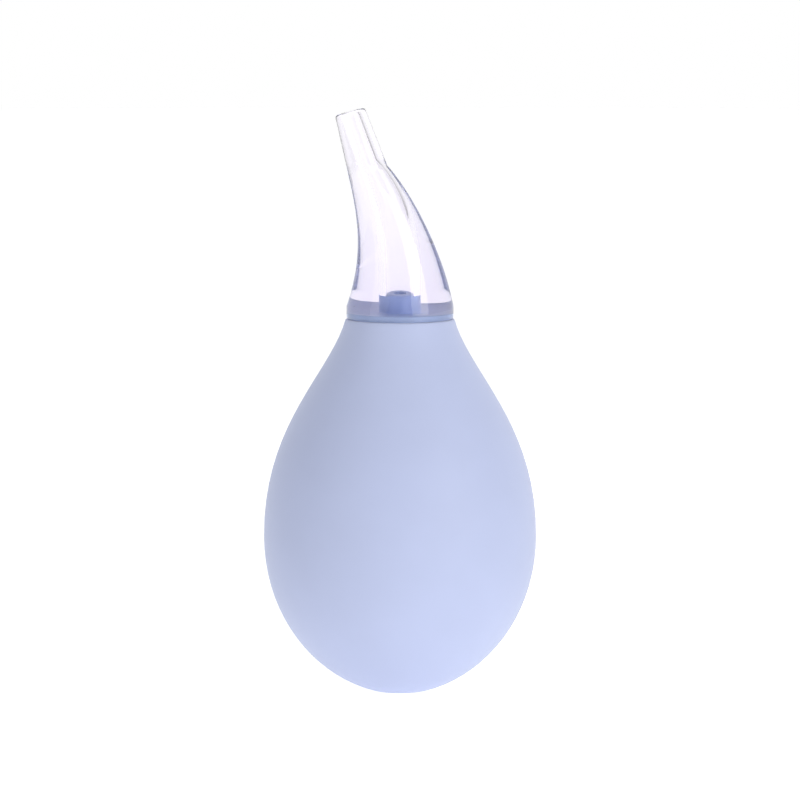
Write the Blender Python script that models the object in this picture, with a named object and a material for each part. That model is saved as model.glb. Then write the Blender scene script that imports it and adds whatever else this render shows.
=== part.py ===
"""A pear-shaped squeeze-bulb nasal aspirator, standing on its flat base.

Three real pieces: a soft bulb, a clear tip, and the plug that joins them. The bulb is one moulding on
the real object. Here its two gripped areas are separate pieces, so that the squeeze can move.

Units are metres. The origin is the centre of the base, +Z runs up the bulb's axis, the tip leans
towards -X, and the squeeze is along Y.
"""

import math

import bmesh
import bpy
from mathutils import Matrix, Vector

# Fits
GAP = 0.0003  # left between two pieces that touch
ROUND_STEPS = 4  # facets round a small rounded edge
FIT_SIDES = 40  # facets round the plug and the tip, alike so that their fits stay even

# Bulb, outside
BULB_HEIGHT = 0.0750  # base to the flat top of the neck
BELLY_RADIUS = 0.0275
BELLY_HEIGHT = 0.0314
BASE_RADIUS = 0.0060  # flat that the bulb stands on
NECK_RADIUS = 0.01095
NECK_EDGE = 0.0004  # rounding at the rim of the neck's top
BASE_SLOPE = math.radians(16)  # how fast the side rises where it leaves the base
NECK_SLOPE = math.radians(15)  # how far the side leans from upright where it meets the neck
BASE_REACH = 0.0121  # lengths of the curve handles, which set how full the pear is
BELLY_REACH_DOWN = 0.0163
BELLY_REACH_UP = 0.0229
NECK_REACH = 0.0114
BULB_SIDES = 48
BULB_LOWER_STEPS = 10
BULB_UPPER_STEPS = 12

# Bulb, inside
WALL = 0.0022
FLOOR = 0.0026
SOCKET_RADIUS = 0.0060  # bore of the neck, which takes the plug
SOCKET_DEPTH = 0.0125
GROOVE_DEPTH = 0.0009  # ring groove in the socket
GROOVE_HEIGHT = 0.0030
GROOVE_DROP = 0.0056  # neck top to the middle of the groove

# Gripped areas of the bulb
GRIP_WIDTH = 0.0300
GRIP_HEIGHT = 0.0340
GRIP_LIFT = 0.0016  # their centre, above the widest part of the belly
GRIP_SIDES = 32
CUTTER_MARGIN = 0.0050  # how far a cutter runs past the wall that it cuts

# Plug
STEM_LENGTH = 0.0100  # below the neck's top
STEM_CHAMFER = 0.0008
BEAD_HEIGHT = 0.0022
FLANGE_THICKNESS = 0.0012
PIPE_HEIGHT = 0.0044  # top of the standpipe, above the seat
PIPE_WALL = 0.0010
PIPE_EDGE = 0.0002

# Tip, outside. A pair is (x, height), and heights are above the seat
FOOT_STEP = 0.00015  # neck's edge to the foot's
FOOT_BAND = 0.0025  # height of the upright band round the foot
FOOT_EDGE = 0.0004
SHOULDER_HEIGHT = 0.0300
SHOULDER_OFFSET = 0.0065  # how far the shoulder's centre stands off the bulb's axis
SHOULDER_RADIUS = 0.00403
SHOULDER_TILT = math.radians(12.2)
TUBE_LENGTH = 0.0121  # shoulder to the tip's end
TUBE_LEAN = math.radians(17)
TIP_RADIUS = 0.0031
TIP_TILT = math.radians(15)
TIP_EDGE = 0.0006
FRONT_FROM_FOOT = Vector((0.0036, 0.0106))  # curve handles of the concave front edge
FRONT_TO_SHOULDER = Vector((0.0020, -0.0088))
BACK_FROM_FOOT = Vector((-0.0019, 0.0101))  # curve handles of the full back edge
BACK_TO_SHOULDER = Vector((0.0056, -0.0064))
BODY_STEPS = 10
TUBE_STEPS = 3

# Tip, inside
SKIRT_WALL = 0.0008
CHAMBER_RADIUS = 0.0029  # bore of the foot, which takes the standpipe
THROAT_RISE = 0.0015  # throat, above the shoulder's centre
THROAT_RADIUS = 0.00155
THROAT_TILT = math.radians(15.5)
BORE_RADIUS = 0.0015
FRONT_FROM_CHAMBER = Vector((0, 0.0098))  # curve handles of the chamber's two edges
FRONT_TO_THROAT = Vector((0.0041, -0.0095))
BACK_FROM_CHAMBER = Vector((0, 0.0118))
BACK_TO_THROAT = Vector((0.0066, -0.0079))
CHAMBER_STEPS = 9

# Worked out from the values above
SEAT = BULB_HEIGHT + GAP
GRIP_CENTRE = BELLY_HEIGHT + GRIP_LIFT
FOOT_RADIUS = NECK_RADIUS - FOOT_STEP
RECESS_RADIUS = FOOT_RADIUS - SKIRT_WALL
RECESS_DEPTH = FLANGE_THICKNESS + GAP
FLANGE_RADIUS = RECESS_RADIUS - GAP
STEM_RADIUS = SOCKET_RADIUS - GAP
BEAD_RADIUS = SOCKET_RADIUS + GROOVE_DEPTH - GAP
PIPE_RADIUS = CHAMBER_RADIUS - GAP
AIR_RADIUS = PIPE_RADIUS - PIPE_WALL
CHAMBER_FOOT = PIPE_HEIGHT + GAP  # where the chamber opens out above the standpipe
SHOULDER_CENTRE = Vector((-SHOULDER_OFFSET, SHOULDER_HEIGHT))
TIP_CENTRE = SHOULDER_CENTRE + Vector((-math.sin(TUBE_LEAN), math.cos(TUBE_LEAN))) * TUBE_LENGTH
THROAT_CENTRE = SHOULDER_CENTRE + Vector((0, THROAT_RISE))


def clear_scene():
    for obj in list(bpy.data.objects):
        bpy.data.objects.remove(obj)


def make_material(name, colour, roughness, transmission=0.0):
    material = bpy.data.materials.new(name)
    material.use_nodes = True
    shader = material.node_tree.nodes["Principled BSDF"]
    shader.inputs["Base Color"].default_value = (*colour, 1.0)
    shader.inputs["Roughness"].default_value = roughness
    shader.inputs["Metallic"].default_value = 0.0
    shader.inputs["Transmission Weight"].default_value = transmission
    return material


def bezier(start, handle_a, handle_b, end, steps):
    """Points along a cubic Bezier curve, ends included."""
    points = []
    for i in range(steps + 1):
        t = i / steps
        u = 1 - t
        points.append(
            u**3 * Vector(start)
            + 3 * u * u * t * Vector(handle_a)
            + 3 * u * t * t * Vector(handle_b)
            + t**3 * Vector(end)
        )
    return points


def rounded(corner, before, after, radius):
    """Points that round a corner of an outline, from the side of before to the side of after."""
    corner, before, after = Vector(corner), Vector(before), Vector(after)
    start = corner + (before - corner).normalized() * radius
    end = corner + (after - corner).normalized() * radius
    return bezier(start, start.lerp(corner, 0.55), end.lerp(corner, 0.55), end, ROUND_STEPS)


def direction(angle):
    """Unit vector at this angle above the horizontal."""
    return Vector((math.cos(angle), math.sin(angle)))


# Solids


def add_object(name, bm, material, origin, parent):
    """Finishes a bmesh drawn in world space as an object whose origin is at the given point."""
    bmesh.ops.remove_doubles(bm, verts=bm.verts, dist=1e-7)
    bmesh.ops.recalc_face_normals(bm, faces=bm.faces)
    bmesh.ops.translate(bm, verts=bm.verts, vec=-Vector(origin))
    mesh = bpy.data.meshes.new(name)
    bm.to_mesh(mesh)
    bm.free()
    mesh.shade_smooth()
    mesh.set_sharp_from_angle(angle=math.radians(40))
    if material:
        mesh.materials.append(material)
    obj = bpy.data.objects.new(name, mesh)
    bpy.context.scene.collection.objects.link(obj)
    obj.parent = parent
    obj.location = Vector(origin) - (parent.matrix_world.translation if parent else Vector())
    bpy.context.view_layer.update()
    return obj


def turned(profile, sides, closed=True):
    """A bmesh made by spinning a profile of (radius, z) points round the Z axis."""
    bm = bmesh.new()
    verts = [bm.verts.new((r, 0.0, z)) for r, z in profile]
    edges = [bm.edges.new(pair) for pair in zip(verts, verts[1:])]
    if closed:
        edges.append(bm.edges.new((verts[-1], verts[0])))
    bmesh.ops.spin(
        bm,
        geom=verts + edges,
        axis=(0, 0, 1),
        cent=(0, 0, 0),
        angle=2 * math.pi,
        steps=sides,
        use_merge=True,
    )
    return bm


def lofted(sections, sides):
    """A bmesh through round sections, each given by its front and back point, joined end to end."""
    bm = bmesh.new()
    rings = []
    for front, back in sections:
        across = back - front
        centre = (front + back) / 2
        tilt = math.atan2(across.y, across.x)
        place = Matrix.Translation((centre.x, 0, SEAT + centre.y)) @ Matrix.Rotation(-tilt, 4, "Y")
        made = bmesh.ops.create_circle(bm, segments=sides, radius=across.length / 2, matrix=place)
        rings.append(made["verts"])
    for ring, following in zip(rings, rings[1:] + rings[:1]):
        for i in range(sides):
            j = (i + 1) % sides
            bm.faces.new((ring[i], ring[j], following[j], following[i]))
    return bm


# Bulb


def bulb_outside():
    """The pear's outline from the edge of the base up to the neck, as (radius, z)."""
    base = Vector((BASE_RADIUS, 0))
    belly = Vector((BELLY_RADIUS, BELLY_HEIGHT))
    neck = Vector((NECK_RADIUS, BULB_HEIGHT))
    lower = bezier(
        base,
        base + direction(BASE_SLOPE) * BASE_REACH,
        belly - Vector((0, BELLY_REACH_DOWN)),
        belly,
        BULB_LOWER_STEPS,
    )
    upper = bezier(
        belly,
        belly + Vector((0, BELLY_REACH_UP)),
        neck + Vector((math.sin(NECK_SLOPE), -math.cos(NECK_SLOPE))) * NECK_REACH,
        neck,
        BULB_UPPER_STEPS,
    )
    return lower + upper[1:]


def bulb_inside(outside):
    """The cavity's outline from the middle of its floor up to the socket, a wall's thickness inside."""
    inside = [Vector((0, FLOOR))]
    socket_floor = BULB_HEIGHT - SOCKET_DEPTH
    for before, point, after in zip(outside, outside[1:], outside[2:]):
        along = (after - before).normalized()
        moved = point + Vector((-along.y, along.x)) * WALL
        if moved.y > FLOOR and moved.y < socket_floor and moved.x > SOCKET_RADIUS:
            inside.append(moved)
    inside.insert(1, Vector((inside[1].x - (inside[1].y - FLOOR), FLOOR)))
    inside.append(Vector((SOCKET_RADIUS, socket_floor)))
    return inside


def socket_wall():
    """The socket's outline from its floor up to the neck's top, with the groove for the plug's bead."""
    middle = BULB_HEIGHT - GROOVE_DROP
    slope = GROOVE_DEPTH / 2
    deep = SOCKET_RADIUS + GROOVE_DEPTH
    return [
        Vector((SOCKET_RADIUS, middle - GROOVE_HEIGHT / 2 - slope)),
        Vector((deep, middle - GROOVE_HEIGHT / 2 + slope)),
        Vector((deep, middle + GROOVE_HEIGHT / 2 - slope)),
        Vector((SOCKET_RADIUS, middle + GROOVE_HEIGHT / 2 + slope)),
        Vector((SOCKET_RADIUS, BULB_HEIGHT)),
    ]


def bulb_shell():
    outside = bulb_outside()
    top = outside[-1]
    rim = rounded(top, outside[-2], top - Vector((NECK_RADIUS, 0)), NECK_EDGE)
    loop = [Vector((0, 0))] + outside[:-1] + rim
    loop += reversed(bulb_inside(outside) + socket_wall())
    return turned(loop, BULB_SIDES)


def grip_prism(side, shrink):
    """An upright oval run along Y through the wall on one side of the bulb."""
    bm = bmesh.new()
    width, height = GRIP_WIDTH / 2 - shrink, GRIP_HEIGHT / 2 - shrink
    place = (
        Matrix.Translation((0, side * (BELLY_RADIUS + CUTTER_MARGIN), GRIP_CENTRE))
        @ Matrix.Rotation(math.pi / 2, 4, "X")
        @ Matrix.Diagonal((width, height, 1, 1))
    )
    bmesh.ops.create_circle(bm, cap_ends=True, segments=GRIP_SIDES, radius=1, matrix=place)
    made = bmesh.ops.extrude_face_region(bm, geom=bm.faces[:])
    moved = [item for item in made["geom"] if isinstance(item, bmesh.types.BMVert)]
    depth = BELLY_RADIUS + CUTTER_MARGIN - GAP
    bmesh.ops.translate(bm, verts=moved, vec=(0, -side * depth, 0))
    return bm


def add_cutter(name, side, shrink):
    cutter = add_object(name, grip_prism(side, shrink), None, (0, 0, 0), None)
    cutter.hide_render = True
    cutter.display_type = "WIRE"
    return cutter


def add_boolean(obj, cutter, operation):
    modifier = obj.modifiers.new(cutter.name, "BOOLEAN")
    modifier.operation = operation
    modifier.solver = "EXACT"
    modifier.object = cutter


def build_bulb(material, parent):
    body = add_object("bulb_body", bulb_shell(), material, (0, 0, 0), parent)
    for name, side in (("front", -1), ("back", 1)):
        add_boolean(body, add_cutter(f"{name}_window", side, 0), "DIFFERENCE")
        origin = (0, side * BELLY_RADIUS, GRIP_CENTRE)
        wall = add_object(f"bulb_{name}_wall", bulb_shell(), material, origin, body)
        add_boolean(wall, add_cutter(f"{name}_outline", side, GAP), "INTERSECT")
    return body


# Plug


def plug_profile():
    """Half section of the plug, from the bottom of the air hole up and round to the stem."""
    bottom = BULB_HEIGHT - STEM_LENGTH
    bead = BULB_HEIGHT - GROOVE_DROP
    slope = BEAD_RADIUS - STEM_RADIUS
    top = SEAT + PIPE_HEIGHT
    stem_side = [
        (STEM_RADIUS - STEM_CHAMFER, bottom),
        (STEM_RADIUS, bottom + STEM_CHAMFER),
        (STEM_RADIUS, bead - BEAD_HEIGHT / 2),
        (BEAD_RADIUS, bead - BEAD_HEIGHT / 2 + slope),
        (BEAD_RADIUS, bead + BEAD_HEIGHT / 2 - slope),
        (STEM_RADIUS, bead + BEAD_HEIGHT / 2),
        (STEM_RADIUS, SEAT),
    ]
    flange = [
        (FLANGE_RADIUS, SEAT),
        (FLANGE_RADIUS, SEAT + FLANGE_THICKNESS),
        (PIPE_RADIUS, SEAT + FLANGE_THICKNESS),
    ]
    pipe_top = [
        (PIPE_RADIUS, top - PIPE_EDGE),
        (PIPE_RADIUS - PIPE_EDGE, top),
        (AIR_RADIUS + PIPE_EDGE, top),
        (AIR_RADIUS, top - PIPE_EDGE),
    ]
    return stem_side + flange + pipe_top + [(AIR_RADIUS, bottom)]


def build_plug(material, parent):
    bm = turned(plug_profile(), FIT_SIDES)
    return add_object("plug", bm, material, (0, 0, SEAT), parent)


# Tip


def section(centre, radius, tilt):
    """Front and back point of a round section."""
    return centre - direction(tilt) * radius, centre + direction(tilt) * radius


def level(radius, height):
    return section(Vector((0, height)), radius, 0)


def between(a, b, steps):
    """Sections part way from a to b, both left out."""
    return [
        (a[0].lerp(b[0], i / steps), a[1].lerp(b[1], i / steps)) for i in range(1, steps)
    ]


def curved(a, b, front_handles, back_handles, steps):
    """Sections from a to b whose front and back points follow two curves.

    A curve's two handles are measured from its two ends.
    """
    front = bezier(a[0], a[0] + front_handles[0], b[0] + front_handles[1], b[0], steps)
    back = bezier(a[1], a[1] + back_handles[0], b[1] + back_handles[1], b[1], steps)
    return list(zip(front, back))


def end_rounding():
    """Sections round the end of the tip, from the outside over the rim into the bore."""
    wall = TIP_RADIUS - BORE_RADIUS
    edge = min(TIP_EDGE, wall / 2)
    axis = Vector((-math.sin(TIP_TILT), math.cos(TIP_TILT)))
    corner_out, corner_in = Vector((TIP_RADIUS, 0)), Vector((BORE_RADIUS, 0))
    down = Vector((0, -edge))
    outline = rounded(corner_out, corner_out + down, corner_in, edge)
    outline += rounded(corner_in, corner_out, corner_in + down, edge)[1 if edge == wall / 2 else 0 :]
    return [section(TIP_CENTRE + axis * drop, radius, TIP_TILT) for radius, drop in outline]


def tip_sections():
    """Every section of the tip, from the foot up the outside and down the inside."""
    foot_corner = Vector((FOOT_RADIUS, 0))
    foot = rounded(foot_corner, Vector((0, 0)), Vector((FOOT_RADIUS, FOOT_BAND)), FOOT_EDGE)
    band = level(FOOT_RADIUS, FOOT_BAND)
    shoulder = section(SHOULDER_CENTRE, SHOULDER_RADIUS, SHOULDER_TILT)
    rim = end_rounding()
    throat = section(THROAT_CENTRE, THROAT_RADIUS, THROAT_TILT)
    chamber = level(CHAMBER_RADIUS, CHAMBER_FOOT)
    body = curved(
        band,
        shoulder,
        (FRONT_FROM_FOOT, FRONT_TO_SHOULDER),
        (BACK_FROM_FOOT, BACK_TO_SHOULDER),
        BODY_STEPS,
    )
    hollow = curved(
        chamber,
        throat,
        (FRONT_FROM_CHAMBER, FRONT_TO_THROAT),
        (BACK_FROM_CHAMBER, BACK_TO_THROAT),
        CHAMBER_STEPS,
    )
    outside = [level(radius, height) for radius, height in foot]
    outside += body + between(shoulder, rim[0], TUBE_STEPS)
    inside = between(rim[-1], throat, TUBE_STEPS) + hollow[::-1]
    foot_bore = [level(CHAMBER_RADIUS, RECESS_DEPTH)]
    recess = [level(RECESS_RADIUS, RECESS_DEPTH), level(RECESS_RADIUS, 0)]
    return outside + rim + inside + foot_bore + recess


def build_tip(material, parent):
    bm = lofted(tip_sections(), FIT_SIDES)
    return add_object("clear_tip", bm, material, (0, 0, SEAT), parent)


def main():
    clear_scene()
    soft_blue = make_material("soft_blue", (0.50, 0.56, 0.82), 0.55)
    plug_blue = make_material("plug_blue", (0.34, 0.43, 0.72), 0.35)
    clear = make_material("clear", (0.93, 0.92, 0.97), 0.05, transmission=1.0)
    root = bpy.data.objects.new("aspirator", None)
    bpy.context.scene.collection.objects.link(root)
    bulb = build_bulb(soft_blue, root)
    plug = build_plug(plug_blue, bulb)
    build_tip(clear, plug)


main()
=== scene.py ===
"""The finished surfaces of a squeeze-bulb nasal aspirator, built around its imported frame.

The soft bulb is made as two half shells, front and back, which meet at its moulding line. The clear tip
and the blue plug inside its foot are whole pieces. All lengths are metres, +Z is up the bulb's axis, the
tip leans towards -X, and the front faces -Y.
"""

import math

import bpy
from bpy.props import FloatProperty, FloatVectorProperty, PointerProperty
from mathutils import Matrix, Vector


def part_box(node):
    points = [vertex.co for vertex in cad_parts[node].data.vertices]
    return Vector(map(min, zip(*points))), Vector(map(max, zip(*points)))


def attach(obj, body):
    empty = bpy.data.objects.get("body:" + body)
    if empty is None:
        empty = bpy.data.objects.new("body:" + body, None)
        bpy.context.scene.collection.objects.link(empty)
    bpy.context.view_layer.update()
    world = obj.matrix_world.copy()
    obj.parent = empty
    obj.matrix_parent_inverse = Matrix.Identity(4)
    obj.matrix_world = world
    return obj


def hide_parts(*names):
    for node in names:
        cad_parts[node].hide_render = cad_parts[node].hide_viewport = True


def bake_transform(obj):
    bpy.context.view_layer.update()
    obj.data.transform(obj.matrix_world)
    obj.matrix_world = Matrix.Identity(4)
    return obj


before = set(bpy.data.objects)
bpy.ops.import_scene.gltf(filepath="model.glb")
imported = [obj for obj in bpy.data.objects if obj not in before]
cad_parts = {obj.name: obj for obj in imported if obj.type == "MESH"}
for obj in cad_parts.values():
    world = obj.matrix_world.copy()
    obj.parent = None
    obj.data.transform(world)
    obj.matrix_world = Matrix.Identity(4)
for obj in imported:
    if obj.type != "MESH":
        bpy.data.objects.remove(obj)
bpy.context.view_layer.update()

bl_info = {
    "name": "Nasal aspirator",
    "version": (1, 0, 0),
    "blender": (4, 5, 0),
    "location": "3D View > Sidebar > Aspirator",
    "description": "Builds a squeeze-bulb nasal aspirator around its packed frame",
    "category": "Object",
}

# Places read from the frame
BULB_LOW, BULB_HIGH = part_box("bulb_body")
PLUG_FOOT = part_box("plug")[0].z
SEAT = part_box("clear_tip")[0].z
RIM_GAP = 0.00002  # left between the soft rim and the plug's flange
NECK_TOP = SEAT - RIM_GAP

# Fineness of the meshes
BULB_SIDES = 144
FIT_SIDES = 96
CURVE_STEPS = 18
BODY_STEPS = 36
HOLLOW_STEPS = 32
TUBE_STEPS = 8
FLOOR_SIDES = 96
MERGE = 1e-6
NEAR = 2e-5

# Curve handles of the bulb's outline: length, and angle from level or from upright
BASE_REACH = 0.0121
BASE_SLOPE = math.radians(16)
BELLY_REACH_DOWN = 0.0163
BELLY_REACH_UP = 0.0229
NECK_REACH = 0.0114
NECK_SLOPE = math.radians(15)
INNER_SLOPE = math.radians(30)
INNER_REACH = 0.0085

# Curve handles of the tip, as (x, height) measured from the ends of each curve
FRONT_FROM_FOOT = Vector((0.0036, 0.0106))
FRONT_TO_SHOULDER = Vector((0.0020, -0.0088))
BACK_FROM_FOOT = Vector((-0.0019, 0.0101))
BACK_TO_SHOULDER = Vector((0.0056, -0.0064))
FRONT_FROM_CHAMBER = Vector((0, 0.0098))
FRONT_TO_THROAT = Vector((0.0041, -0.0095))
BACK_FROM_CHAMBER = Vector((0, 0.0118))
BACK_TO_THROAT = Vector((0.0066, -0.0079))

# Widths of the small roundings: plug, then tip
STEM_ROUND = 0.0007
AIR_FOOT_ROUND = 0.0003
FLANGE_ROUND = 0.0003
PIPE_FOOT_ROUND = 0.0002
PIPE_ROUND = 0.0003
AIR_ROUND = 0.0002
MOUTH_ROUND = 0.00015
CEILING_ROUND = 0.0003
SOCKET_ROUND = 0.0002

# Materials
NOISE_LOW = 0.3  # noise is spread over this range, since it seldom goes past it
NOISE_HIGH = 0.7
GRAIN_DEPTH = 0.00002

# Softboxes: place, width and power
SOFTBOXES = {
    "right_softbox": ((0.80, -0.80, 0.40), 0.80, 7.6),
    "left_softbox": ((-0.80, -0.72, 0.35), 0.80, 2.8),
    "top_softbox": ((0, -0.15, 1.60), 1.20, 8.5),
}
SOFTBOX_AIM = (0, 0, 0.05)


def length(name, description, default):
    return FloatProperty(
        name=name, description=description, default=default, min=0.0, precision=5, unit="LENGTH"
    )


def angle(name, description, degrees):
    return FloatProperty(
        name=name, description=description, default=math.radians(degrees), subtype="ANGLE"
    )


def factor(name, description, default):
    return FloatProperty(
        name=name, description=description, default=default, min=0.0, max=1.0, subtype="FACTOR"
    )


def colour(name, description, default):
    return FloatVectorProperty(
        name=name, description=description, default=default, size=3, min=0.0, max=1.0, subtype="COLOR"
    )


class BulbSettings(bpy.types.PropertyGroup):
    """Sizes and finish of the soft bulb"""

    belly_radius: length("Belly radius", "Widest radius of the bulb", BULB_HIGH.x)
    belly_height: length("Belly height", "Height of the widest part", 0.0314)
    base_radius: length("Base radius", "Flat that the bulb stands on", 0.0060)
    neck_radius: length("Neck radius", "Outside of the neck at its top", 0.01095)
    neck_edge: length("Neck edge", "Rounding of the neck's rim", 0.0004)
    wall: length("Wall", "Thickness of the soft wall", 0.0022)
    floor: length("Floor", "Thickness of the base", 0.0026)
    socket_radius: length("Socket radius", "Bore of the neck that takes the plug", 0.0060)
    socket_depth: length("Socket depth", "Depth of the bore of the neck", 0.0125)
    groove_depth: length("Groove depth", "Ring groove that holds the plug's bead", 0.0009)
    groove_height: length("Groove height", "Height of the ring groove", 0.0030)
    groove_drop: length("Groove drop", "Neck's top to the middle of the groove", 0.0056)
    shoulder_radius: length("Inner shoulder radius", "Where the inner wall turns in to the neck", 0.0158)
    shoulder_height: length("Inner shoulder height", "Height of that turn", 0.0610)
    skin: colour("Skin", "Colour of the soft moulding", (0.475, 0.53, 0.745))
    roughness: factor("Roughness", "Roughness of the matt skin", 0.55)


class PlugSettings(bpy.types.PropertyGroup):
    """Sizes and finish of the plug"""

    stem_radius: length("Stem radius", "Stem in the neck", 0.0057)
    bead_radius: length("Bead radius", "Ring bead on the stem", 0.0066)
    bead_height: length("Bead height", "Height of the ring bead", 0.0022)
    flange_radius: length("Flange radius", "Flange on the neck's top", 0.01001)
    flange_thickness: length("Flange thickness", "Thickness of the flange", 0.00121)
    pipe_radius: length("Pipe radius", "Standpipe in the tip's chamber", 0.00291)
    pipe_height: length("Pipe height", "Top of the standpipe above the seat", 0.0044)
    air_radius: length("Air hole radius", "Hole through the plug", 0.0012)
    tint: colour("Tint", "Colour of the plug", (0.46, 0.60, 0.94))
    roughness: factor("Roughness", "Roughness of the satin plastic", 0.35)


class TipSettings(bpy.types.PropertyGroup):
    """Sizes and finish of the clear tip"""

    foot_radius: length("Foot radius", "Outside of the foot", 0.0108)
    foot_band: length("Foot band", "Height of the foot's upright band", 0.0025)
    foot_edge: length("Foot edge", "Rounding under the foot", 0.0004)
    shoulder_height: length("Shoulder height", "Height of the shoulder above the seat", 0.0300)
    shoulder_offset: length("Shoulder offset", "Shoulder's centre off the axis", 0.0065)
    shoulder_radius: length("Shoulder radius", "Outside at the shoulder", 0.00403)
    shoulder_tilt: angle("Shoulder tilt", "Lean of the section at the shoulder", 12.2)
    tube_length: length("Tube length", "Shoulder to the tip's end", 0.0121)
    tube_lean: angle("Tube lean", "Lean of the tube from upright", 17)
    end_radius: length("End radius", "Outside of the tip's end", 0.0031)
    end_tilt: angle("End tilt", "Lean of the tip's end face", 15)
    end_edge: length("End edge", "Rounding of the tip's end", 0.0006)
    recess_radius: length("Recess radius", "Pocket under the foot", 0.0100)
    recess_depth: length("Recess depth", "Depth of that pocket", 0.0012)
    chamber_radius: length("Chamber radius", "Fluid chamber at its bottom", 0.0029)
    chamber_foot: length("Chamber foot", "Height that the chamber runs straight to", 0.0046)
    throat_rise: length("Throat rise", "Throat above the shoulder's centre", 0.0015)
    throat_radius: length("Throat radius", "Bore at the throat", 0.00155)
    throat_tilt: angle("Throat tilt", "Lean of the section at the throat", 15.5)
    bore_radius: length("Bore radius", "Bore at the tip's end", 0.0015)
    tint: colour("Tint", "Tint of the clear plastic's surface", (0.985, 0.975, 1.0))
    depth_tint: colour("Depth tint", "Tint that the plastic takes on with its thickness", (0.66, 0.58, 0.85))
    depth_density: FloatProperty(
        name="Depth density", description="How fast the plastic takes on that tint", default=30.0, min=0.0
    )
    ior: FloatProperty(name="IOR", description="Refraction of the clear plastic", default=1.45)


class StageSettings(bpy.types.PropertyGroup):
    """Camera, backdrop and light"""

    distance: length("Distance", "Camera to the object", 0.90)
    elevation: angle("Elevation", "Height of the camera above level", 6)
    frame_width: length("Frame width", "What the picture spans at the object", 0.1612)
    aim_height: length("Aim height", "Height that the camera looks at", 0.0588)
    floor_radius: length("Floor radius", "Size of the sheet of paper", 3.0)
    paper: colour("Paper", "Colour of the paper", (0.50, 0.50, 0.50))
    paper_glow: factor("Paper glow", "Light that comes up through the paper", 0.78)
    front_light: factor("Front light", "Strength of the room in front", 0.08)


# Modelling


def start_alone():
    """Leaves edit mode and selects nothing."""
    if bpy.context.mode != "OBJECT":
        bpy.ops.object.mode_set(mode="OBJECT")
    bpy.ops.object.select_all(action="DESELECT")


def activate(obj):
    start_alone()
    obj.select_set(True)
    bpy.context.view_layer.objects.active = obj


def knot(point, into=None, out=None):
    """A point of an outline with the handles on its two sides, where a missing handle is straight."""
    return Vector(point), into, out


def draw_outline(name, knots, closed):
    """Draws a curve through the knots in the XZ plane, and turns it into edges."""
    start_alone()
    bpy.ops.curve.primitive_bezier_curve_add(radius=1, location=(0, 0, 0))
    obj = bpy.context.object
    obj.name = name
    curve = obj.data
    curve.splines.clear()
    spline = curve.splines.new("BEZIER")
    spline.bezier_points.add(len(knots) - 1)
    spline.use_cyclic_u = closed
    spline.resolution_u = CURVE_STEPS
    for bezier, (place, into, out) in zip(spline.bezier_points, knots):
        bezier.co = (place.x, 0, place.y)
        bezier.handle_left_type = "FREE" if into else "VECTOR"
        bezier.handle_right_type = "FREE" if out else "VECTOR"
        if into:
            bezier.handle_left = (place.x + into.x, 0, place.y + into.y)
        if out:
            bezier.handle_right = (place.x + out.x, 0, place.y + out.y)
    bpy.ops.object.convert(target="MESH")
    return bpy.context.object


def tidy_mesh():
    """Merges doubles and points the faces outwards, in edit mode."""
    bpy.ops.mesh.select_all(action="SELECT")
    bpy.ops.mesh.remove_doubles(threshold=MERGE)
    bpy.ops.mesh.normals_make_consistent(inside=False)
    bpy.ops.mesh.select_all(action="DESELECT")


def spin_outline(obj, sides):
    """Spins the outline once round the Z axis."""
    activate(obj)
    bpy.ops.object.mode_set(mode="EDIT")
    bpy.ops.mesh.select_all(action="SELECT")
    bpy.ops.mesh.spin(steps=sides, angle=2 * math.pi, center=(0, 0, 0), axis=(0, 0, 1))
    tidy_mesh()
    bpy.ops.object.mode_set(mode="OBJECT")


def round_ring(obj, centre, radius, tilt, width, segments=5):
    """Rounds the ring of edges on this circle, whose plane leans by tilt from level."""
    axis = Vector((-math.sin(tilt), 0, math.cos(tilt)))
    activate(obj)
    bpy.ops.object.mode_set(mode="EDIT")
    bpy.ops.mesh.select_mode(type="EDGE")
    bpy.ops.mesh.select_all(action="DESELECT")
    bpy.ops.object.mode_set(mode="OBJECT")
    on_ring = []
    for vertex in obj.data.vertices:
        away = vertex.co - Vector(centre)
        on_ring.append(abs(away.dot(axis)) < NEAR and abs(away.length - radius) < NEAR)
    found = 0
    for edge in obj.data.edges:
        edge.select = on_ring[edge.vertices[0]] and on_ring[edge.vertices[1]]
        found += edge.select
    if found < 3:
        raise RuntimeError(f"{obj.name} has no ring of radius {radius:.5f} at {centre}")
    bpy.ops.object.mode_set(mode="EDIT")
    bpy.ops.mesh.bevel(offset=width, segments=segments, affect="EDGES")
    tidy_mesh()
    bpy.ops.object.mode_set(mode="OBJECT")


def finish_mesh(obj, smooth_degrees=40):
    activate(obj)
    bpy.ops.object.shade_smooth_by_angle(angle=math.radians(smooth_degrees))
    start_alone()


def section(centre, radius, tilt):
    """Front and back point, as (x, height), of a round section."""
    across = Vector((math.cos(tilt), math.sin(tilt))) * radius
    return centre - across, centre + across


def bezier_at(start, handle_a, handle_b, end, t):
    u = 1 - t
    return u**3 * start + 3 * u * u * t * handle_a + 3 * u * t * t * handle_b + t**3 * end


def curved_sections(a, b, front_handles, back_handles, steps):
    """Sections from a to b whose front and back points follow two curves."""
    sections = []
    for i in range(steps + 1):
        pair = []
        for start, end, handles in ((a[0], b[0], front_handles), (a[1], b[1], back_handles)):
            pair.append(bezier_at(start, start + handles[0], end + handles[1], end, i / steps))
        sections.append(tuple(pair))
    return sections


def straight_sections(a, b, steps):
    return [(a[0].lerp(b[0], i / steps), a[1].lerp(b[1], i / steps)) for i in range(1, steps)]


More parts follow.
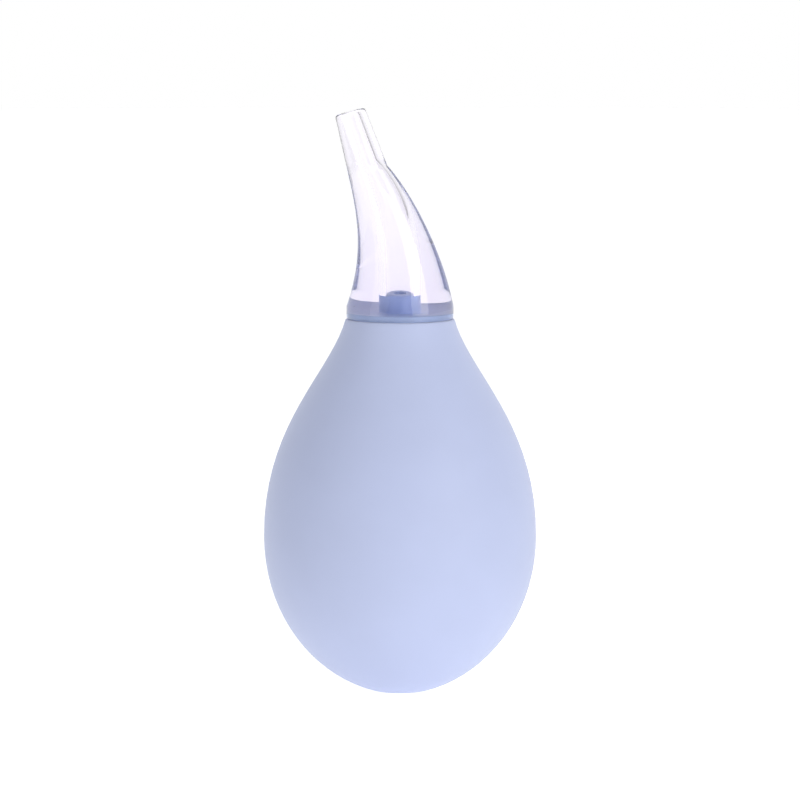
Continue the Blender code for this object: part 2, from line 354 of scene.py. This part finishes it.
def ring_place(pair):
    """Centre, radius and tilt of a section."""
    across = pair[1] - pair[0]
    middle = (pair[0] + pair[1]) / 2
    return Vector((middle.x, 0, SEAT + middle.y)), across.length / 2, math.atan2(across.y, across.x)


def loft(name, sections, sides):
    """Draws one ring and carries it through all the sections by extruding it, then joins the ends."""
    start_alone()
    centre, radius, tilt = ring_place(sections[0])
    bpy.ops.mesh.primitive_circle_add(vertices=sides, radius=radius, location=centre)
    obj = bpy.context.object
    obj.name = name
    bpy.ops.object.transform_apply(location=True, rotation=False, scale=False)
    bpy.ops.object.mode_set(mode="EDIT")
    bpy.ops.mesh.select_all(action="SELECT")
    for pair in sections[1:]:
        new_centre, new_radius, new_tilt = ring_place(pair)
        bpy.ops.mesh.extrude_region()
        bpy.ops.transform.translate(value=new_centre - centre)
        bpy.ops.transform.resize(value=(new_radius / radius,) * 3, center_override=new_centre)
        if abs(new_tilt - tilt) > MERGE:
            bpy.ops.transform.rotate(
                value=new_tilt - tilt,
                orient_axis="Y",
                orient_type="GLOBAL",
                center_override=new_centre,
            )
        centre, radius, tilt = new_centre, new_radius, new_tilt
    bpy.ops.object.mode_set(mode="OBJECT")
    count = len(obj.data.vertices)
    for i, vertex in enumerate(obj.data.vertices):
        vertex.select = i < sides or i >= count - sides
    for edge in obj.data.edges:
        first, second = edge.vertices
        edge.select = (first < sides) == (second < sides) and (
            obj.data.vertices[first].select and obj.data.vertices[second].select
        )
    bpy.ops.object.mode_set(mode="EDIT")
    bpy.ops.mesh.select_mode(type="EDGE")
    bpy.ops.mesh.bridge_edge_loops()
    tidy_mesh()
    bpy.ops.object.mode_set(mode="OBJECT")
    return obj


# Materials


def new_material(name):
    material = bpy.data.materials.new(name)
    material.use_nodes = True
    return material, material.node_tree, material.node_tree.nodes["Principled BSDF"]


def add_noise(tree, scale, detail):
    """Noise on the piece's own coordinates."""
    place = tree.nodes.new("ShaderNodeTexCoord")
    noise = tree.nodes.new("ShaderNodeTexNoise")
    noise.inputs["Scale"].default_value = scale
    noise.inputs["Detail"].default_value = detail
    tree.links.new(place.outputs["Object"], noise.inputs["Vector"])
    return noise


def add_range(tree, source, low, high):
    """Maps the noise's range onto low to high."""
    mapped = tree.nodes.new("ShaderNodeMapRange")
    mapped.inputs["From Min"].default_value = NOISE_LOW
    mapped.inputs["From Max"].default_value = NOISE_HIGH
    mapped.inputs["To Min"].default_value = low
    mapped.inputs["To Max"].default_value = high
    tree.links.new(source, mapped.inputs["Value"])
    return mapped.outputs["Result"]


def add_bump(tree, shader, height, distance, strength):
    bump = tree.nodes.new("ShaderNodeBump")
    bump.inputs["Distance"].default_value = distance
    bump.inputs["Strength"].default_value = strength
    tree.links.new(height, bump.inputs["Height"])
    tree.links.new(bump.outputs["Normal"], shader.inputs["Normal"])


def add_two_tones(tree, shader, source, base, spread):
    """Lets the colour drift a little to either side of base."""
    ramp = tree.nodes.new("ShaderNodeValToRGB")
    ramp.color_ramp.elements[0].position = NOISE_LOW
    ramp.color_ramp.elements[1].position = NOISE_HIGH
    for element, share in zip(ramp.color_ramp.elements, (1 - spread, 1 + spread)):
        element.color = (*[min(1.0, c * share) for c in base], 1.0)
    tree.links.new(source, ramp.inputs["Fac"])
    tree.links.new(ramp.outputs["Color"], shader.inputs["Base Color"])


def add_moulded_finish(tree, shader, base, roughness, *, clouds, drift, grain, detail, spread, bump):
    """Colour that drifts in soft clouds, and a fine grain in the roughness and the surface."""
    soft = add_noise(tree, clouds, detail=2)
    add_two_tones(tree, shader, soft.outputs["Fac"], base, drift)
    fine = add_noise(tree, grain, detail)
    mapped = add_range(tree, fine.outputs["Fac"], roughness - spread, roughness + spread)
    tree.links.new(mapped, shader.inputs["Roughness"])
    add_bump(tree, shader, fine.outputs["Fac"], GRAIN_DEPTH, bump)


def make_skin_material(settings):
    """Soft matt moulding with the fine grain of a blasted mould."""
    material, tree, shader = new_material("soft_skin")
    add_moulded_finish(
        tree, shader, settings.skin, settings.roughness,
        clouds=90, drift=0.012, grain=2600, detail=4, spread=0.05, bump=0.35,
    )
    shader.inputs["Sheen Weight"].default_value = 0.15
    shader.inputs["Sheen Roughness"].default_value = 0.5
    shader.inputs["Specular IOR Level"].default_value = 0.35
    return material


def make_plug_material(settings):
    """Satin moulded plastic."""
    material, tree, shader = new_material("plug_plastic")
    add_moulded_finish(
        tree, shader, settings.tint, settings.roughness,
        clouds=220, drift=0.03, grain=3200, detail=3, spread=0.08, bump=0.2,
    )
    return material


def make_clear_material(settings):
    """Thick clear plastic, with a faint ripple and fine haze from moulding."""
    material, tree, shader = new_material("clear_plastic")
    shader.inputs["Base Color"].default_value = (*settings.tint, 1.0)
    shader.inputs["IOR"].default_value = settings.ior
    shader.inputs["Transmission Weight"].default_value = 1.0
    haze = add_noise(tree, scale=700, detail=4)
    tree.links.new(add_range(tree, haze.outputs["Fac"], low=0.0, high=0.04), shader.inputs["Roughness"])
    ripple = add_noise(tree, scale=120, detail=1)
    add_bump(tree, shader, ripple.outputs["Fac"], distance=0.00004, strength=0.15)
    depth = tree.nodes.new("ShaderNodeVolumeAbsorption")
    depth.inputs["Color"].default_value = (*settings.depth_tint, 1.0)
    depth.inputs["Density"].default_value = settings.depth_density
    tree.links.new(depth.outputs["Volume"], tree.nodes["Material Output"].inputs["Volume"])
    return material


def give_material(obj, material):
    obj.data.materials.clear()
    obj.data.materials.append(material)


# Outlines


def bulb_knots(size):
    """The bulb's wall in section, from the middle of its base round to the middle of its floor."""
    down = size.groove_height / 2
    slope = size.groove_depth / 2
    middle = NECK_TOP - size.groove_drop
    deep = size.socket_radius + size.groove_depth
    outside = [
        knot((0, BULB_LOW.z)),
        knot(
            (size.base_radius, BULB_LOW.z),
            out=Vector((math.cos(BASE_SLOPE), math.sin(BASE_SLOPE))) * BASE_REACH,
        ),
        knot(
            (size.belly_radius, size.belly_height),
            into=Vector((0, -BELLY_REACH_DOWN)),
            out=Vector((0, BELLY_REACH_UP)),
        ),
        knot(
            (size.neck_radius, NECK_TOP),
            into=Vector((math.sin(NECK_SLOPE), -math.cos(NECK_SLOPE))) * NECK_REACH,
        ),
    ]
    socket = [
        knot((size.socket_radius, NECK_TOP)),
        knot((size.socket_radius, middle + down + slope)),
        knot((deep, middle + down - slope)),
        knot((deep, middle - down + slope)),
        knot((size.socket_radius, middle - down - slope)),
        knot((size.socket_radius, NECK_TOP - size.socket_depth)),
    ]
    inside = [
        knot(
            (size.shoulder_radius, size.shoulder_height),
            out=Vector((math.sin(INNER_SLOPE), -math.cos(INNER_SLOPE))) * INNER_REACH,
        ),
        knot(
            (size.belly_radius - size.wall, size.belly_height),
            into=Vector((0, BELLY_REACH_UP - size.wall)),
            out=Vector((0, -(BELLY_REACH_DOWN - size.wall))),
        ),
        knot(
            (size.base_radius + size.wall, BULB_LOW.z + size.floor),
            into=Vector((math.cos(BASE_SLOPE), math.sin(BASE_SLOPE))) * (BASE_REACH - size.wall),
        ),
        knot((0, BULB_LOW.z + size.floor)),
    ]
    return outside + socket + inside


def plug_knots(size):
    """Half of the plug in section, all straight, from the bottom of its air hole round to the top."""
    bead = NECK_TOP - bpy.context.scene.aspirator_bulb.groove_drop
    slope = size.bead_radius - size.stem_radius
    half = size.bead_height / 2
    flange_top = SEAT + size.flange_thickness
    top = SEAT + size.pipe_height
    corners = [
        (size.air_radius, PLUG_FOOT),
        (size.stem_radius, PLUG_FOOT),
        (size.stem_radius, bead - half),
        (size.bead_radius, bead - half + slope),
        (size.bead_radius, bead + half - slope),
        (size.stem_radius, bead + half),
        (size.stem_radius, SEAT),
        (size.flange_radius, SEAT),
        (size.flange_radius, flange_top),
        (size.pipe_radius, flange_top),
        (size.pipe_radius, top),
        (size.air_radius, top),
    ]
    return [knot(corner) for corner in corners]


class TipShape:
    """Sections of the tip that the others run between."""

    def __init__(self, size):
        shoulder = Vector((-size.shoulder_offset, size.shoulder_height))
        lean = Vector((-math.sin(size.tube_lean), math.cos(size.tube_lean)))
        end = shoulder + lean * size.tube_length
        throat = shoulder + Vector((0, size.throat_rise))
        self.foot = section(Vector((0, 0)), size.foot_radius, 0)
        self.band = section(Vector((0, size.foot_band)), size.foot_radius, 0)
        self.shoulder = section(shoulder, size.shoulder_radius, size.shoulder_tilt)
        self.end_out = section(end, size.end_radius, size.end_tilt)
        self.end_in = section(end, size.bore_radius, size.end_tilt)
        self.throat = section(throat, size.throat_radius, size.throat_tilt)
        self.chamber = section(Vector((0, size.chamber_foot)), size.chamber_radius, 0)
        self.socket = section(Vector((0, size.recess_depth)), size.chamber_radius, 0)
        self.ceiling = section(Vector((0, size.recess_depth)), size.recess_radius, 0)
        self.mouth = section(Vector((0, 0)), size.recess_radius, 0)

    def sections(self):
        body = curved_sections(
            self.band,
            self.shoulder,
            (FRONT_FROM_FOOT, FRONT_TO_SHOULDER),
            (BACK_FROM_FOOT, BACK_TO_SHOULDER),
            BODY_STEPS,
        )
        hollow = curved_sections(
            self.chamber,
            self.throat,
            (FRONT_FROM_CHAMBER, FRONT_TO_THROAT),
            (BACK_FROM_CHAMBER, BACK_TO_THROAT),
            HOLLOW_STEPS,
        )
        outside = [self.foot] + body + straight_sections(self.shoulder, self.end_out, TUBE_STEPS)
        inside = straight_sections(self.end_in, self.throat, TUBE_STEPS) + hollow[::-1]
        foot = [self.socket, self.ceiling, self.mouth]
        return outside + [self.end_out, self.end_in] + inside + foot


# Operators


class ASPIRATOR_OT_bulb(bpy.types.Operator):
    """Builds the soft bulb as a front and a back half shell"""

    bl_idname = "aspirator.bulb"
    bl_label = "Add bulb"

    def execute(self, context):
        size = context.scene.aspirator_bulb
        skin = make_skin_material(size)
        whole = draw_outline("bulb_front", bulb_knots(size), closed=False)
        spin_outline(whole, BULB_SIDES)
        rim = (0, 0, NECK_TOP)
        round_ring(whole, rim, size.neck_radius, 0, size.neck_edge)
        round_ring(whole, rim, size.socket_radius, 0, size.neck_edge)
        give_material(whole, skin)
        activate(whole)
        bpy.ops.object.duplicate()
        other = context.object
        other.name = "bulb_back"
        for half, side in ((whole, -1), (other, 1)):
            self.cut_half(half, side)
            finish_mesh(half)
            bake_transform(half)
        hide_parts("bulb_body", "bulb_front_wall")
        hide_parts("bulb_body", "bulb_back_wall")
        return {"FINISHED"}

    def cut_half(self, half, side):
        """Keeps the half on this side of the moulding line, and closes it."""
        activate(half)
        bpy.ops.object.mode_set(mode="EDIT")
        bpy.ops.mesh.select_all(action="SELECT")
        bpy.ops.mesh.bisect(
            plane_co=(0, 0, 0),
            plane_no=(0, 1, 0),
            use_fill=True,
            clear_inner=side > 0,
            clear_outer=side < 0,
            threshold=MERGE,
        )
        tidy_mesh()
        bpy.ops.object.mode_set(mode="OBJECT")


class ASPIRATOR_OT_plug(bpy.types.Operator):
    """Builds the blue plug that joins the tip to the bulb"""

    bl_idname = "aspirator.plug"
    bl_label = "Add plug"

    def execute(self, context):
        size = context.scene.aspirator_plug
        plug = draw_outline("plug_finish", plug_knots(size), closed=True)
        spin_outline(plug, FIT_SIDES)
        flange_top = SEAT + size.flange_thickness
        top = SEAT + size.pipe_height
        for radius, height, width in (
            (size.stem_radius, PLUG_FOOT, STEM_ROUND),
            (size.air_radius, PLUG_FOOT, AIR_FOOT_ROUND),
            (size.flange_radius, flange_top, FLANGE_ROUND),
            (size.pipe_radius, flange_top, PIPE_FOOT_ROUND),
            (size.pipe_radius, top, PIPE_ROUND),
            (size.air_radius, top, AIR_ROUND),
        ):
            round_ring(plug, (0, 0, height), radius, 0, width)
        give_material(plug, make_plug_material(size))
        finish_mesh(plug)
        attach(plug, "plug")
        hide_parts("plug")
        return {"FINISHED"}


class ASPIRATOR_OT_clear_tip(bpy.types.Operator):
    """Builds the clear angled tip"""

    bl_idname = "aspirator.clear_tip"
    bl_label = "Add clear tip"

    def execute(self, context):
        size = context.scene.aspirator_tip
        shape = TipShape(size)
        tip = loft("clear_tip_finish", shape.sections(), FIT_SIDES)
        for pair, width in (
            (shape.foot, size.foot_edge),
            (shape.mouth, MOUTH_ROUND),
            (shape.ceiling, CEILING_ROUND),
            (shape.socket, SOCKET_ROUND),
            (shape.end_out, size.end_edge),
            (shape.end_in, size.end_edge),
        ):
            centre, radius, tilt = ring_place(pair)
            round_ring(tip, centre, radius, tilt, width)
        give_material(tip, make_clear_material(size))
        finish_mesh(tip, 30)
        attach(tip, "tip")
        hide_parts("clear_tip")
        return {"FINISHED"}


class ASPIRATOR_OT_stage(bpy.types.Operator):
    """Adds the white floor, the lights and the camera"""

    bl_idname = "aspirator.stage"
    bl_label = "Add stage"

    def execute(self, context):
        stage = context.scene.aspirator_stage
        context.scene.view_settings.view_transform = "Standard"
        self.add_floor(stage)
        self.light_room(context.scene, stage)
        for name, (place, width, power) in SOFTBOXES.items():
            self.add_light(name, place, width, power)
        self.add_camera(context.scene, stage)
        return {"FINISHED"}

    def add_floor(self, stage):
        """A wide round sheet of paper that is lit from below."""
        start_alone()
        bpy.ops.mesh.primitive_circle_add(
            vertices=FLOOR_SIDES, radius=stage.floor_radius, fill_type="NGON"
        )
        floor = bpy.context.object
        floor.name = "floor"
        material, tree, shader = new_material("paper")
        grain = add_noise(tree, scale=900, detail=2)
        add_two_tones(tree, shader, grain.outputs["Fac"], stage.paper, spread=0.004)
        shader.inputs["Roughness"].default_value = 0.8
        shader.inputs["Emission Color"].default_value = (1, 1, 1, 1)
        shader.inputs["Emission Strength"].default_value = stage.paper_glow
        give_material(floor, material)

    def light_room(self, scene, stage):
        """A room that is bright behind the object and dim in front, and looks plain white itself."""
        world = bpy.data.worlds.new("room")
        scene.world = world
        world.use_nodes = True
        tree = world.node_tree
        background = tree.nodes["Background"]
        background.inputs["Color"].default_value = (1, 1, 1, 1)
        place = tree.nodes.new("ShaderNodeTexCoord")
        axes = tree.nodes.new("ShaderNodeSeparateXYZ")
        fade = tree.nodes.new("ShaderNodeMapRange")
        fade.inputs["From Min"].default_value = 0.0
        fade.inputs["From Max"].default_value = 0.8
        fade.inputs["To Min"].default_value = stage.front_light
        fade.inputs["To Max"].default_value = 1.0
        tree.links.new(place.outputs["Generated"], axes.inputs["Vector"])
        tree.links.new(axes.outputs["Y"], fade.inputs["Value"])
        path = tree.nodes.new("ShaderNodeLightPath")
        strength = tree.nodes.new("ShaderNodeMath")
        strength.operation = "MAXIMUM"
        tree.links.new(fade.outputs["Result"], strength.inputs[0])
        tree.links.new(path.outputs["Is Camera Ray"], strength.inputs[1])
        tree.links.new(strength.outputs["Value"], background.inputs["Strength"])

    def add_light(self, name, place, size, power):
        start_alone()
        turn = (Vector(SOFTBOX_AIM) - Vector(place)).to_track_quat("-Z", "Y").to_euler()
        bpy.ops.object.light_add(type="AREA", location=place, rotation=turn)
        light = bpy.context.object
        light.name = name
        light.data.size = size
        light.data.energy = power
        light.visible_camera = False

    def add_camera(self, scene, stage):
        start_alone()
        aim = Vector((0, 0, stage.aim_height))
        back = Vector((0, -math.cos(stage.elevation), math.sin(stage.elevation)))
        place = aim + back * stage.distance
        turn = (aim - place).to_track_quat("-Z", "Y").to_euler()
        bpy.ops.object.camera_add(location=place, rotation=turn)
        camera = bpy.context.object
        camera.data.lens = camera.data.sensor_width * stage.distance / stage.frame_width
        scene.camera = camera


class ASPIRATOR_PT_panel(bpy.types.Panel):
    """Lists the aspirator's pieces"""

    bl_idname = "ASPIRATOR_PT_panel"
    bl_label = "Nasal aspirator"
    bl_space_type = "VIEW_3D"
    bl_region_type = "UI"
    bl_category = "Aspirator"

    def draw(self, context):
        for operator in OPERATORS:
            self.layout.operator(operator.bl_idname)


SETTINGS = {
    "aspirator_bulb": BulbSettings,
    "aspirator_plug": PlugSettings,
    "aspirator_tip": TipSettings,
    "aspirator_stage": StageSettings,
}
OPERATORS = (ASPIRATOR_OT_bulb, ASPIRATOR_OT_plug, ASPIRATOR_OT_clear_tip, ASPIRATOR_OT_stage)


def register():
    for name, settings in SETTINGS.items():
        bpy.utils.register_class(settings)
        setattr(bpy.types.Scene, name, PointerProperty(type=settings))
    for operator in OPERATORS:
        bpy.utils.register_class(operator)
    bpy.utils.register_class(ASPIRATOR_PT_panel)


def unregister():
    bpy.utils.unregister_class(ASPIRATOR_PT_panel)
    for operator in reversed(OPERATORS):
        bpy.utils.unregister_class(operator)
    for name, settings in reversed(SETTINGS.items()):
        delattr(bpy.types.Scene, name)
        bpy.utils.unregister_class(settings)


def main():
    register()
    bpy.ops.aspirator.bulb()
    bpy.ops.aspirator.plug()
    bpy.ops.aspirator.clear_tip()
    bpy.ops.aspirator.stage()


if __name__ == "__main__":
    main()
